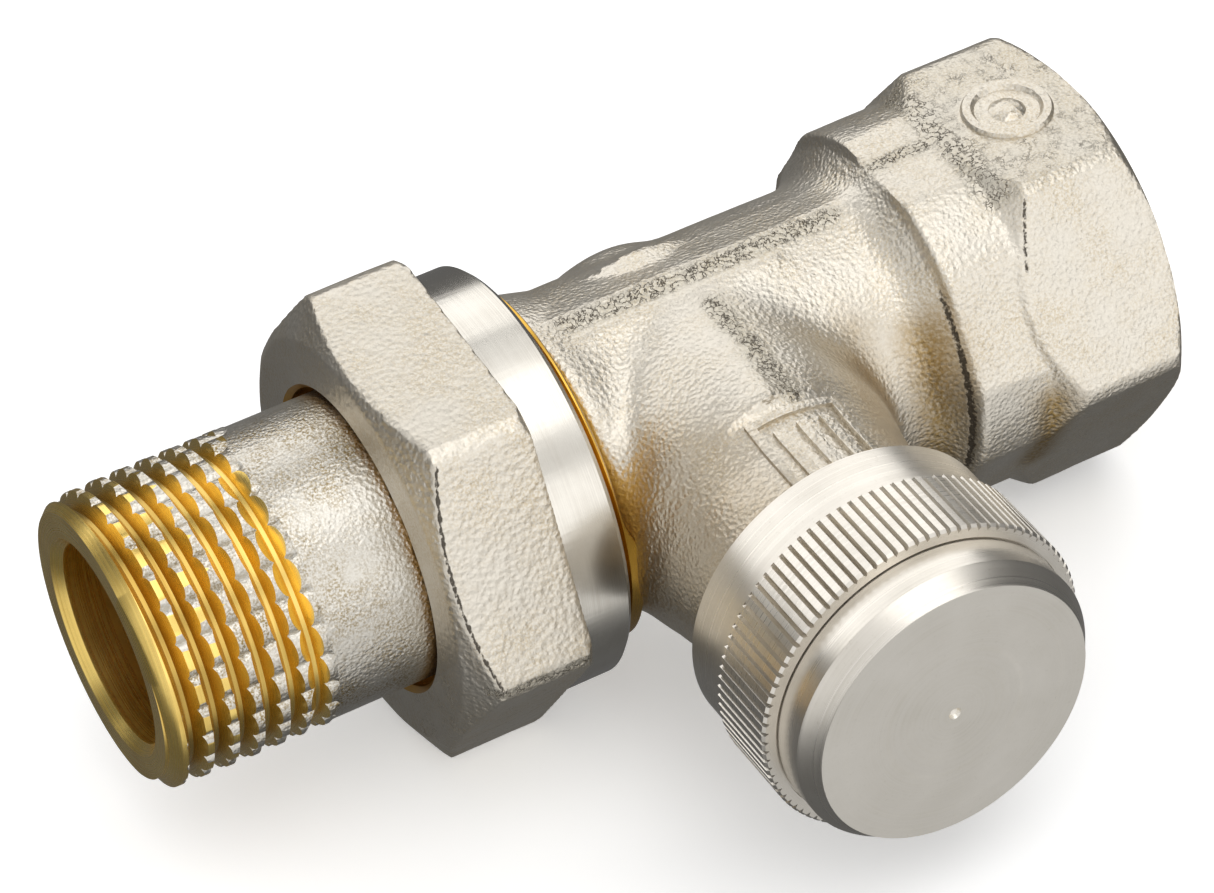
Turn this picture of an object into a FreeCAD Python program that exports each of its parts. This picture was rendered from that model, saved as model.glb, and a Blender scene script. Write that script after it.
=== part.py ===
import FreeCAD, Part
import math
import os

# Straight lockshield valve for a half-inch radiator connection.
# X is the pipe axis. The origin is the centre of the female socket's mouth, and the
# tailpiece's thread is at the far -X end. The spindle and its cap point along -Y.
# A height above the pipe axis, towards the cap, is called "rise": y = -rise.

# Driving dimensions, in millimetres
SPINDLE_X = -32.3          # where the spindle axis crosses the pipe axis
TAIL_END_X = -75.5         # free end of the tailpiece
NUT_BACK_X = -56.6         # face of the union nut towards the tailpiece
NUT_COLLAR_X = -48.0       # where the nut's hexagon meets its turned collar
NUT_MOUTH_X = -43.9        # open end of the nut's collar
CAP_TOP_RISE = 35.8        # flat face of the cap
CAP_MOUTH_RISE = 22.0      # open edge of the cap's skirt
BODY_FLATS = 27.0          # across flats of the body's hexagon
NUT_FLATS = 30.0           # across flats of the union nut
NUT_TURN_DEG = 6.0         # how far the nut's flats stand round from the body's
TUBE_R = 11.0              # forged tube between the nut and the hexagon
BRANCH_R = 9.5             # forged branch that carries the cap
PIPE_THREAD_R = 10.478     # R 1/2 male thread, major radius
PIPE_THREAD_BORE_R = 9.316 # Rp 1/2 female thread, minor radius
LIFT = 3.0                 # travel of the valve disc
FIT = 0.05                 # radial clearance of a running fit or a thread

os.makedirs("parts", exist_ok=True)

ALONG_PIPE = FreeCAD.Vector(1, 0, 0)
TOWARDS_CAP = FreeCAD.Vector(0, -1, 0)


def save(node, shape):
    shape.removeSplitter().exportStep("parts/" + node + ".step")


def pipe_turned(profile):
    """Solid turned about the pipe axis from a closed outline of (x, radius)."""
    points = [FreeCAD.Vector(x, 0, r) for x, r in profile]
    face = Part.Face(Part.makePolygon(points + points[:1]))
    return face.revolve(FreeCAD.Vector(0, 0, 0), ALONG_PIPE, 360)


def stem_turned(profile):
    """Solid turned about the spindle axis from a closed outline of (rise, radius)."""
    points = [FreeCAD.Vector(SPINDLE_X, -rise, r) for rise, r in profile]
    face = Part.Face(Part.makePolygon(points + points[:1]))
    return face.revolve(FreeCAD.Vector(SPINDLE_X, 0, 0), TOWARDS_CAP, 360)


def stem_ring(low, high, inner, outer):
    return stem_turned([(low, inner), (high, inner), (high, outer), (low, outer)])


def stem_rod(low, high, radius):
    return stem_ring(low, high, 0, radius)


def stem_o_ring(rise, middle_r, section_r):
    centre = FreeCAD.Vector(SPINDLE_X, -rise, 0)
    return Part.makeTorus(middle_r, section_r, centre, TOWARDS_CAP)


def hexagon(flats, centre, direction, length, turn_deg=0):
    """Hexagonal bar; with no turn, two of its flats face up and down."""
    corner_r = flats / math.sqrt(3)
    side = direction.cross(FreeCAD.Vector(0, 0, 1))
    corners = []
    for step in range(6):
        angle = math.radians(60 * step + turn_deg)
        across = FreeCAD.Vector(side).multiply(corner_r * math.cos(angle))
        up = FreeCAD.Vector(0, 0, corner_r * math.sin(angle))
        corners.append(centre + across + up)
    face = Part.Face(Part.makePolygon(corners + corners[:1]))
    return face.extrude(FreeCAD.Vector(direction).multiply(length))


def stem_hexagon(flats, low, high):
    centre = FreeCAD.Vector(SPINDLE_X, -low, 0)
    return hexagon(flats, centre, TOWARDS_CAP, high - low)


# ---- The forged body: tube, shoulder, hexagon, branch, boss and waterways ----

UNION_FACE_X = -50.9       # end of the body inside the union nut
UNION_THREAD_R = 13.1      # G 3/4 male thread
NECK_X = -41.9             # where the union thread meets the forging
SHOULDER_X = -14.8         # start of the round neck beside the hexagon
HEX_START_X = -9.0
SOCKET_DEPTH = 13.2
BRANCH_MOUTH = 27.2        # rise of the branch's machined face
CAP_THREAD_R = 9.3
HEADWORK_THREAD_R = 7.4
SEAT_BORE_R = 4.6
SEAT_RISE = 2.2
CHAMBER_FLOOR = 1.4
SPIGOT_BORE_R = 9.6


def body_forging():
    tube = pipe_turned([
        (UNION_FACE_X, 0), (UNION_FACE_X, UNION_THREAD_R - 0.7),
        (UNION_FACE_X + 0.7, UNION_THREAD_R), (NECK_X, UNION_THREAD_R),
        (NECK_X, TUBE_R + 0.5), (NECK_X + 3, TUBE_R), (SHOULDER_X - 3.8, TUBE_R - 0.1),
        (SHOULDER_X - 2.9, TUBE_R + 0.6), (SHOULDER_X - 1.3, 13.0), (SHOULDER_X, 13.5),
        (-10.6, 13.7), (-8, 13.7), (-8, 0)])
    hexagon_end = hexagon(BODY_FLATS, FreeCAD.Vector(-12, 0, 0), ALONG_PIPE, 12)
    hexagon_envelope = pipe_turned([
        (-12, 0), (-12, 13.2), (HEX_START_X + 2.6, 15.25), (-1.1, 15.25), (0, 13.5), (0, 0)])
    boss = stem_turned([(0, 0), (-9.9, 0), (-9.9, 5.6), (-8.4, 7.8), (-6.4, 8.6), (0, 8.6)])
    branch_top = CAP_MOUTH_RISE - 0.5
    branch = stem_turned([
        (0, 0), (0, BRANCH_R), (TUBE_R - 1, BRANCH_R), (TUBE_R + 1, BRANCH_R + 0.9),
        (TUBE_R + 4, BRANCH_R + 0.3), (branch_top, BRANCH_R), (branch_top, 0)])
    return tube.fuse([branch, boss, hexagon_end.common(hexagon_envelope)])


def valve_body():
    mouth = BRANCH_MOUTH
    cap_thread = stem_rod(CAP_MOUTH_RISE - 1.5, mouth, CAP_THREAD_R)
    body = body_forging().fuse(cap_thread)
    socket = pipe_turned([
        (0.5, 0), (0.5, 12.0), (-0.45, PIPE_THREAD_BORE_R), (-SOCKET_DEPTH, PIPE_THREAD_BORE_R),
        (-SOCKET_DEPTH - 1.8, 7.4), (-SOCKET_DEPTH - 1.8, 0)])
    inlet = Part.makeCylinder(4.0, 16, FreeCAD.Vector(-30, 4, 0), ALONG_PIPE)
    seat_bore = stem_rod(-6.6, SEAT_RISE + 0.1, SEAT_BORE_R)
    chamber = stem_rod(SEAT_RISE, mouth + 1, HEADWORK_THREAD_R)
    moat = stem_ring(CHAMBER_FLOOR, SEAT_RISE + 0.1, SEAT_BORE_R + 1.1, HEADWORK_THREAD_R)
    slope = FreeCAD.Vector(-10, 5.2, 0)
    outlet = Part.makeCylinder(4.2, 11, FreeCAD.Vector(SPINDLE_X - 6.4, -6.2, 0), slope)
    spigot_floor = UNION_FACE_X + 5.0
    spigot_bore = pipe_turned([
        (UNION_FACE_X - 0.5, 0), (UNION_FACE_X - 0.5, 11.7),
        (UNION_FACE_X + 1.6, SPIGOT_BORE_R), (spigot_floor, SPIGOT_BORE_R),
        (spigot_floor + 0.6, 7.2), (spigot_floor + 0.6, 0)])
    return body.cut([socket, inlet, seat_bore, chamber, moat, outlet, spigot_bore])


# ---- The headwork: a brass insert that carries the spindle and its seals ----

FLANGE_R = 8.6
HEADWORK_SEAL_THICKNESS = 0.6
HEADWORK_TOP = 32.0
HEADWORK_BOTTOM = 13.0
SPINDLE_THREAD_R = 4.95
SPINDLE_SHAFT_R = 4.0
SEAL_CHAMBER_R = 5.7
SEAL_CHAMBER_FLOOR = 25.1
SEAL_SECTION_R = 0.8
SEAL_MIDDLE_R = SPINDLE_SHAFT_R + 0.07 + SEAL_SECTION_R
GLAND_NUT_LOW = 29.6


def headwork_housing():
    flange = BRANCH_MOUTH + HEADWORK_SEAL_THICKNESS
    turned = stem_turned([
        (HEADWORK_BOTTOM, 0), (HEADWORK_BOTTOM, HEADWORK_THREAD_R - 0.6),
        (HEADWORK_BOTTOM + 0.6, HEADWORK_THREAD_R - 0.02), (flange, HEADWORK_THREAD_R - 0.02),
        (flange, FLANGE_R), (flange + 1.2, FLANGE_R), (flange + 1.2, 0)])
    spanner_top = stem_hexagon(14, flange + 1.2, HEADWORK_TOP)
    rounded = stem_turned([
        (flange + 1.2, 0), (flange + 1.2, 8.0), (HEADWORK_TOP - 0.6, 8.0),
        (HEADWORK_TOP, 7.1), (HEADWORK_TOP, 0)])
    thread_bore = stem_rod(HEADWORK_BOTTOM - 1, SEAL_CHAMBER_FLOOR - 0.8, SPINDLE_THREAD_R + FIT)
    guide = stem_rod(HEADWORK_BOTTOM, SEAL_CHAMBER_FLOOR + 1, SPINDLE_SHAFT_R + FIT)
    seal_chamber = stem_rod(SEAL_CHAMBER_FLOOR, HEADWORK_TOP + 1, SEAL_CHAMBER_R)
    return turned.fuse(spanner_top.common(rounded)).cut([thread_bore, guide, seal_chamber])


def headwork_seal():
    low = BRANCH_MOUTH
    return stem_ring(low, low + HEADWORK_SEAL_THICKNESS, HEADWORK_THREAD_R, FLANGE_R)


def spindle_seal(place):
    rise = SEAL_CHAMBER_FLOOR + 0.02 + SEAL_SECTION_R + place * (2 * SEAL_SECTION_R + 0.25)
    return stem_o_ring(rise, SEAL_MIDDLE_R, SEAL_SECTION_R)


def gland_washer():
    return stem_ring(GLAND_NUT_LOW - 0.9, GLAND_NUT_LOW, SPINDLE_SHAFT_R + 0.1, SEAL_CHAMBER_R)


def gland_nut():
    top = HEADWORK_TOP - 0.2
    ring = stem_ring(GLAND_NUT_LOW, top, SPINDLE_SHAFT_R + 0.1, SEAL_CHAMBER_R)
    slot = Part.makeBox(14, 0.8, 1.2, FreeCAD.Vector(SPINDLE_X - 7, -top, -0.6))
    return ring.cut(slot)


# ---- The moving stem: spindle, preset screw, disc and its holder ----

DISC_LOW = SEAT_RISE + FIT + LIFT
DISC_THICKNESS = 2.0
DISC_R = 6.0
HOLDER_LOW = DISC_LOW + DISC_THICKNESS
HUB_TOP = HOLDER_LOW + 8.15
CLIP_LOW = HUB_TOP - 2.35
PIN_R = 2.5
SPINDLE_TOP = HEADWORK_TOP
KEY_FLATS = 5.0
KEY_DEPTH = 4.0
PRESET_R = 2.35
PRESET_LOW = 20.6
PRESET_TOP = 27.4


def spindle():
    low = HUB_TOP + 0.1
    thread_top = SEAL_CHAMBER_FLOOR - 0.9
    turned = stem_turned([
        (low - 3.9, 0), (low - 3.9, PIN_R - 0.3), (low - 3.6, PIN_R), (CLIP_LOW - 0.15, PIN_R),
        (CLIP_LOW - 0.15, PIN_R - 0.5), (CLIP_LOW + 0.75, PIN_R - 0.5), (CLIP_LOW + 0.75, PIN_R),
        (low, PIN_R), (low, SPINDLE_THREAD_R - 0.5), (low + 0.5, SPINDLE_THREAD_R),
        (thread_top, SPINDLE_THREAD_R), (thread_top, SPINDLE_SHAFT_R),
        (SPINDLE_TOP - 0.4, SPINDLE_SHAFT_R), (SPINDLE_TOP, SPINDLE_SHAFT_R - 0.4),
        (SPINDLE_TOP, 0)])
    key_socket = stem_hexagon(KEY_FLATS, SPINDLE_TOP - KEY_DEPTH, SPINDLE_TOP + 1)
    preset_bore = stem_rod(PRESET_LOW - 2.6, SPINDLE_TOP - KEY_DEPTH, PRESET_R + FIT)
    return turned.cut([key_socket, preset_bore])


def preset_screw():
    groove = PRESET_LOW + 1.2
    turned = stem_turned([
        (PRESET_LOW, 0), (PRESET_LOW, PRESET_R), (groove, PRESET_R), (groove, PRESET_R - 0.9),
        (groove + 1.1, PRESET_R - 0.9), (groove + 1.1, PRESET_R), (PRESET_TOP, PRESET_R),
        (PRESET_TOP, 0)])
    return turned.cut(stem_hexagon(2.5, PRESET_TOP - 1.8, PRESET_TOP + 1))


def preset_seal():
    return stem_o_ring(PRESET_LOW + 1.75, PRESET_R - 0.42, 0.4)


def disc_holder():
    flange_top = HOLDER_LOW + 1.75
    turned = stem_turned([
        (HOLDER_LOW, 0), (HOLDER_LOW, DISC_R + 0.3), (flange_top - 0.4, DISC_R + 0.3),
        (flange_top, DISC_R - 0.1), (flange_top, 4.1), (HUB_TOP, 4.1), (HUB_TOP, 0)])
    pin_hole = stem_rod(HUB_TOP - 4, HUB_TOP + 1, PIN_R + 0.1)
    clip_groove = stem_rod(CLIP_LOW - 0.02, CLIP_LOW + 0.62, 3.2)
    screw_hole = stem_rod(HOLDER_LOW - 1, HOLDER_LOW + 3, 1.5)
    return turned.cut([pin_hole, clip_groove, screw_hole])


def holder_clip():
    ring = stem_ring(CLIP_LOW, CLIP_LOW + 0.6, PIN_R - 0.35, 3.15)
    gap = Part.makeBox(2.2, 2, 8, FreeCAD.Vector(SPINDLE_X - 1.1, -CLIP_LOW - 1.3, 0))
    return ring.cut(gap)


def valve_disc():
    return stem_ring(DISC_LOW, HOLDER_LOW, 1.5, DISC_R)


def disc_washer():
    return stem_ring(DISC_LOW - 0.7, DISC_LOW, 1.5, 3.6)


def disc_screw():
    head_top = DISC_LOW - 0.7
    turned = stem_turned([
        (head_top - 1.6, 0), (head_top - 1.6, 2.4), (head_top - 1.1, 2.9), (head_top, 2.9),
        (head_top, 1.5), (HOLDER_LOW + 2.9, 1.5), (HOLDER_LOW + 2.9, 0)])
    slot = Part.makeBox(8, 0.9, 0.7, FreeCAD.Vector(SPINDLE_X - 4, 0.7 - head_top, -0.35))
    return turned.cut(slot)


# ---- The cap ----

CAP_COLLAR_R = 11.4
CAP_GRIP_R = 11.85
CAP_RIM_R = 11.05
CAP_FACE_R = 9.9
CAP_CEILING = 33.1
GRIP_LOW = 26.0             # the knurled band runs from here
GRIP_HIGH = 32.0            # to here


def lockshield_cap():
    return stem_turned([
        (CAP_MOUTH_RISE, CAP_THREAD_R + FIT), (CAP_MOUTH_RISE, CAP_COLLAR_R - 0.2),
        (CAP_MOUTH_RISE + 0.2, CAP_COLLAR_R), (GRIP_LOW, CAP_COLLAR_R), (GRIP_LOW, CAP_GRIP_R),
        (GRIP_HIGH, CAP_GRIP_R), (GRIP_HIGH, CAP_RIM_R), (34.5, CAP_RIM_R), (CAP_TOP_RISE, CAP_FACE_R),
        (CAP_TOP_RISE, 0), (CAP_CEILING, 0), (CAP_CEILING, CAP_THREAD_R + FIT)])


def cap_seal():
    return stem_ring(HEADWORK_TOP + FIT, CAP_CEILING - FIT, SEAL_CHAMBER_R, 9.1)


# ---- The union: nut, tailpiece and its seal ----

NUT_COLLAR_R = 14.75
NUT_HOLE_R = 10.75
HEAD_BACK_X = -54.45
TAIL_BORE_R = 7.1
BARREL_R = 10.3
TAIL_SEAL_X = UNION_FACE_X + 3.0


def union_nut():
    hexagon_length = NUT_COLLAR_X - NUT_BACK_X
    start = FreeCAD.Vector(NUT_BACK_X, 0, 0)
    spanner = hexagon(NUT_FLATS, start, ALONG_PIPE, hexagon_length, -NUT_TURN_DEG)
    envelope = pipe_turned([
        (NUT_BACK_X, 0), (NUT_BACK_X, 14.4), (NUT_BACK_X + 1.6, 17.0),
        (NUT_COLLAR_X - 0.3, 17.0), (NUT_COLLAR_X, 16.6), (NUT_COLLAR_X, 0)])
    collar = pipe_turned([
        (NUT_COLLAR_X - 1, 0), (NUT_COLLAR_X - 1, NUT_COLLAR_R),
        (NUT_MOUTH_X - 0.4, NUT_COLLAR_R), (NUT_MOUTH_X, NUT_COLLAR_R - 0.4), (NUT_MOUTH_X, 0)])
    hollow = pipe_turned([
        (NUT_MOUTH_X + 1, 0), (NUT_MOUTH_X + 1, UNION_THREAD_R + FIT),
        (UNION_FACE_X - 0.6, UNION_THREAD_R + FIT), (UNION_FACE_X - 0.6, 12.3),
        (HEAD_BACK_X - 0.05, 12.3), (HEAD_BACK_X - 0.05, NUT_HOLE_R),
        (NUT_BACK_X - 1, NUT_HOLE_R), (NUT_BACK_X - 1, 0)])
    return spanner.common(envelope).fuse(collar).cut(hollow)


def tailpiece():
    thread_end = TAIL_END_X + 13.2
    spigot_end = UNION_FACE_X + 4.8
    outside = pipe_turned([
        (TAIL_END_X, TAIL_BORE_R + 0.5), (TAIL_END_X, 9.7), (TAIL_END_X + 0.6, PIPE_THREAD_R),
        (thread_end, PIPE_THREAD_R), (thread_end + 0.3, BARREL_R), (HEAD_BACK_X, BARREL_R),
        (HEAD_BACK_X, 12.0), (UNION_FACE_X - 0.7, 12.0), (UNION_FACE_X - 0.2, 11.15),
        (UNION_FACE_X + 1.5, SPIGOT_BORE_R - 0.2), (TAIL_SEAL_X - 0.75, SPIGOT_BORE_R - 0.2),
        (TAIL_SEAL_X - 0.75, 8.2), (TAIL_SEAL_X + 0.75, 8.2),
        (TAIL_SEAL_X + 0.75, SPIGOT_BORE_R - 0.2), (spigot_end - 0.3, SPIGOT_BORE_R - 0.2),
        (spigot_end, SPIGOT_BORE_R - 0.5), (spigot_end, TAIL_BORE_R),
        (TAIL_END_X + 0.5, TAIL_BORE_R)])
    lug_length = 9
    lug_size = TAIL_BORE_R - 5.6
    lugs = [Part.makeBox(lug_length, 2.4, lug_size, FreeCAD.Vector(-64, -1.2, low))
            for low in (5.8, -5.8 - lug_size)]
    return outside.fuse(lugs)


def tail_seal():
    centre = FreeCAD.Vector(TAIL_SEAL_X, 0, 0)
    return Part.makeTorus(8.2 + 0.67, 0.65, centre, ALONG_PIPE)


save("valve_body", valve_body())
save("headwork_housing", headwork_housing())
save("headwork_seal", headwork_seal())
save("spindle_seal_lower", spindle_seal(0))
save("spindle_seal_upper", spindle_seal(1))
save("gland_washer", gland_washer())
save("gland_nut", gland_nut())
save("spindle", spindle())
save("preset_screw", preset_screw())
save("preset_seal", preset_seal())
save("disc_holder", disc_holder())
save("holder_clip", holder_clip())
save("valve_disc", valve_disc())
save("disc_washer", disc_washer())
save("disc_screw", disc_screw())
save("lockshield_cap", lockshield_cap())
save("cap_seal", cap_seal())
save("union_nut", union_nut())
save("tailpiece", tailpiece())
save("tail_seal", tail_seal())
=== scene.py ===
# A straight lockshield radiator valve with a half-inch union end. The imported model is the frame,
# and each visible piece is made below in the order in which the valve is put together.
import math

import bpy
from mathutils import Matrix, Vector


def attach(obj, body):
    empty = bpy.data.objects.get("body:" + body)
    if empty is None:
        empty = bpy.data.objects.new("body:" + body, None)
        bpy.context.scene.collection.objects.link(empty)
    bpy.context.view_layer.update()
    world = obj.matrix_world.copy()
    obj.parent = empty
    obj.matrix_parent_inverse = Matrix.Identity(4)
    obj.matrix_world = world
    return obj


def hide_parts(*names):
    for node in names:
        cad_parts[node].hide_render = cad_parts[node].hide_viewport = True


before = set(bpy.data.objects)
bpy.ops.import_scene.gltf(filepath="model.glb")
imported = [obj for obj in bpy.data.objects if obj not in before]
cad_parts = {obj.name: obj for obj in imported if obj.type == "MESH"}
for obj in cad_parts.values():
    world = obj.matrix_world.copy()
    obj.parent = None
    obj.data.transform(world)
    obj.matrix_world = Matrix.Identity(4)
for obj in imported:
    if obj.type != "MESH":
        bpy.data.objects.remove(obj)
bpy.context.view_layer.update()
bpy.ops.object.select_all(action="DESELECT")


# ---- The studio ----
# A pale table inside a tent of light that is bright in front of the valve and grey behind it, with
# three large softboxes, as metal fittings are lit for a catalogue. The valve rests on its union nut.
FLOOR_Z = -0.0158
TENT_TOWARD = (-0.125, -0.5, 0.2)
VALVE_MIDDLE = Vector((-0.035, -0.01, 0))

bpy.ops.object.camera_add(
    location=(-0.15344, -0.23668, 0.23046),
    rotation=[math.radians(a) for a in (48.577, 3.835, -29.458)])
camera = bpy.context.object
camera.name = "studio_camera"
camera.data.lens = 153.13
camera.data.clip_start = 0.01
camera.data.clip_end = 30
bpy.context.scene.camera = camera
bpy.context.scene.view_settings.view_transform = "Standard"

bpy.ops.mesh.primitive_plane_add(size=6, location=(0, 0, FLOOR_Z))
table = bpy.context.object
table.name = "table_top"
table_paint = bpy.data.materials.new("white_table")
table_paint.use_nodes = True
table_shader = table_paint.node_tree.nodes["Principled BSDF"]
table_shader.inputs["Base Color"].default_value = (0.93, 0.93, 0.93, 1)
table_shader.inputs["Emission Color"].default_value = (1, 1, 1, 1)
table_shader.inputs["Emission Strength"].default_value = 0.3
table_shader.inputs["Roughness"].default_value = 0.9
table_shader.inputs["Specular IOR Level"].default_value = 0.1
table.data.materials.append(table_paint)
table.visible_glossy = False

world = bpy.data.worlds.new("studio_dome")
bpy.context.scene.world = world
world.use_nodes = True
dome = world.node_tree
sky_place = dome.nodes.new("ShaderNodeTexCoord")
tent_side = dome.nodes.new("ShaderNodeVectorMath")
tent_side.operation = "DOT_PRODUCT"
tent_side.inputs[1].default_value = TENT_TOWARD
tent_half = dome.nodes.new("ShaderNodeMath")
tent_half.inputs[1].default_value = 0.5
tent_shade = dome.nodes.new("ShaderNodeValToRGB")
dome.links.new(sky_place.outputs["Generated"], tent_side.inputs[0])
dome.links.new(tent_side.outputs["Value"], tent_half.inputs[0])
dome.links.new(tent_half.outputs[0], tent_shade.inputs["Fac"])
dome.links.new(tent_shade.outputs["Color"], dome.nodes["Background"].inputs["Color"])
tent_shade.color_ramp.elements[0].position = 0.08
tent_shade.color_ramp.elements[0].color = (0.13, 0.13, 0.13, 1)
tent_shade.color_ramp.elements[1].position = 0.80
tent_shade.color_ramp.elements[1].color = (0.95, 0.95, 0.95, 1)
for position, brightness in ((0.48, 0.13), (0.59, 0.28), (0.655, 0.85)):
    stop = tent_shade.color_ramp.elements.new(position)
    stop.color = (brightness, brightness, brightness * 0.99, 1)


def softbox(name, toward, distance, width, height, brightness):
    """A rectangular light that faces the valve from the given direction."""
    aim = Vector(toward).normalized()
    bpy.ops.object.light_add(type="AREA", location=aim * distance + VALVE_MIDDLE)
    light = bpy.context.object
    light.name = name
    light.rotation_euler = aim.to_track_quat("Z", "Y").to_euler()
    light.data.shape = "RECTANGLE"
    light.data.size = width
    light.data.size_y = height
    light.data.energy = brightness * math.pi * width * height


softbox("front_softbox", (0.36, -0.91, 0.3), 0.9, 1.1, 0.5, 0.55)
softbox("top_softbox", (0.22, -0.16, 0.95), 0.9, 1.3, 0.6, 1.0)
softbox("back_softbox", (0.0, 0.72, 0.6), 1.0, 2.0, 0.72, 1.45)


# ---- The tailpiece ----
# The union's loose tail: a brass tube, its barrel rolled with fine ribs and nickel plated, whose end
# was then threaded R 1/2 through the plating. Its head and spigot sit inside the nut and the body.

# Every outline below lists places along its axis and radii, in millimetres. The pipe's axis is at 0
# in the socket's mouth, which it points out of, and the stem's rises from it towards the cap.
MM = 0.001
STEM_X = -32.3
PIPE_PITCH = 1.814
PIPE_TAPER = 1 / 32
FLANK_ANGLE = 27.5
ROOT_WIDTH = 0.16
TAIL_END = -75.5
HEAD_BACK = -54.45
RIB_COUNT = 26
RIB_STEPS = 12
RIB_TOP = 10.44
RIB_DEPTH = 0.46
RIB_END = -64.1
BARREL_R = 10.3
TAIL_BORE_R = 7.1
LAST_TURN_LEAN = 12
STEP_STEEPNESS = 14


def on_axis(axis, place):
    """A point on the pipe's or the stem's axis, from millimetres."""
    if axis == "pipe":
        return Vector((place, 0, 0)) * MM
    return Vector((STEM_X, -place, 0)) * MM


def settle(piece):
    """Leaves a finished mesh at the origin, with its faces outwards."""
    bpy.context.view_layer.objects.active = piece
    piece.select_set(True)
    bpy.ops.object.transform_apply(location=True, rotation=True, scale=True)
    bpy.ops.object.mode_set(mode="EDIT")
    bpy.ops.mesh.select_all(action="SELECT")
    bpy.ops.mesh.remove_doubles(threshold=1e-6)
    bpy.ops.mesh.normals_make_consistent(inside=False)
    bpy.ops.object.mode_set(mode="OBJECT")
    bpy.ops.object.select_all(action="DESELECT")
    return piece


def turned(name, axis, outline, around, solid=False):
    """A lathe shape: a circle is drawn out along the axis and sized at each point of the outline."""
    place, radius = outline[0]
    bpy.ops.mesh.primitive_circle_add(
        vertices=around, radius=radius * MM, fill_type="NGON" if solid else "NOTHING",
        location=on_axis(axis, place),
        rotation=(0, math.pi / 2, 0) if axis == "pipe" else (math.pi / 2, 0, 0))
    piece = bpy.context.object
    piece.name = name
    bpy.ops.object.mode_set(mode="EDIT")
    bpy.ops.mesh.select_all(action="SELECT")
    for next_place, next_radius in outline[1:]:
        here = on_axis(axis, next_place)
        bpy.ops.mesh.extrude_region()
        if next_place != place:
            bpy.ops.transform.translate(value=here - on_axis(axis, place))
        if next_radius != radius:
            bpy.ops.transform.resize(value=[next_radius / radius] * 3, center_override=here)
        place, radius = next_place, next_radius
    bpy.ops.object.mode_set(mode="OBJECT")
    return settle(piece)


def apply_modifier(piece, kind, **settings):
    """Adds one modifier, sets it and applies it."""
    modifier = piece.modifiers.new(kind.lower(), kind)
    for name, value in settings.items():
        setattr(modifier, name, value)
    bpy.context.view_layer.objects.active = piece
    bpy.ops.object.modifier_apply(modifier=modifier.name)


def machine(piece, tool, operation="DIFFERENCE"):
    """Cuts the tool's shape from the piece, or joins it on; the cut faces take the tool's finish."""
    apply_modifier(piece, "BOOLEAN", object=tool, operation=operation, solver="EXACT",
                   material_mode="TRANSFER")
    bpy.data.objects.remove(tool)


def thread_groove(name, axis, low, turns, pitch, bottom, mouth,
                  steps=96, slope=0.0, flank=FLANK_ANGLE, fade=0.0):
    """The spiral that a thread die cuts away: a vee from its bottom radius to its mouth. It can widen
    with a taper's slope, and grow shallow over its last turns where the die was stopped."""
    bpy.ops.mesh.primitive_plane_add(size=1, location=(0, 0, 0))
    groove = bpy.context.object
    groove.name = name
    narrow = ROOT_WIDTH * pitch
    wide = narrow + 2 * math.tan(math.radians(flank)) * abs(mouth - bottom)
    for vertex in groove.data.vertices:
        inner = vertex.co.y < 0
        width = narrow if inner else wide
        reach = bottom if inner else mouth
        along = math.copysign(width / 2, vertex.co.x) * MM
        vertex.co = (along, 0, reach * MM) if axis == "pipe" else (0, along, reach * MM)
    bpy.ops.object.select_all(action="DESELECT")
    groove.select_set(True)
    bpy.context.view_layer.objects.active = groove
    bpy.ops.object.mode_set(mode="EDIT")
    bpy.ops.mesh.select_all(action="SELECT")
    bpy.ops.mesh.delete(type="ONLY_FACE")
    bpy.ops.object.mode_set(mode="OBJECT")
    apply_modifier(groove, "SCREW", axis="X" if axis == "pipe" else "Y", angle=2 * math.pi,
                   screw_offset=pitch * MM, iterations=turns, steps=steps, render_steps=steps)
    for vertex in groove.data.vertices:
        along = vertex.co.x if axis == "pipe" else vertex.co.y
        late = (along / (pitch * MM) - turns + fade) / max(fade, 0.01)
        lift = slope * along + max(0.0, late if fade else 0.0) * (mouth - bottom) * MM
        spread = 1 + lift / (bottom * MM)
        if axis == "pipe":
            vertex.co.y *= spread
            vertex.co.z *= spread
        else:
            vertex.co.x *= spread
            vertex.co.z *= spread
    bpy.ops.object.mode_set(mode="EDIT")
    bpy.ops.mesh.select_all(action="SELECT")
    bpy.ops.mesh.fill_holes(sides=0)
    bpy.ops.mesh.normals_make_consistent(inside=False)
    bpy.ops.object.mode_set(mode="OBJECT")
    groove.location = on_axis(axis, low)
    return settle(groove)


def finish_nodes(name, color, roughness):
    """A metal finish, ready for its grain: returns the material, its nodes and its shader."""
    finish = bpy.data.materials.new(name)
    finish.use_nodes = True
    finish.diffuse_color = (*color, 1)
    shader = finish.node_tree.nodes["Principled BSDF"]
    shader.inputs["Metallic"].default_value = 1
    shader.inputs["Base Color"].default_value = (*color, 1)
    shader.inputs["Roughness"].default_value = roughness
    return finish, finish.node_tree, shader


def add_node(tree, kind, **values):
    """A node with its sockets set by name; links are given as sockets."""
    node = tree.nodes.new(kind)
    for name, value in values.items():
        label = name.replace("_", " ")
        if isinstance(value, bpy.types.NodeSocket):
            tree.links.new(value, node.inputs[label])
        elif label in node.inputs:
            node.inputs[label].default_value = value
        else:
            setattr(node, name, value)
    return node


def noise(tree, place, size, detail, roughness=0.55):
    """Noise whose lumps are about the given size in millimetres."""
    node = add_node(
        tree, "ShaderNodeTexNoise", Scale=1 / (size * MM), Detail=detail, Roughness=roughness)
    tree.links.new(place, node.inputs["Vector"])
    return node.outputs["Fac"]


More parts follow.
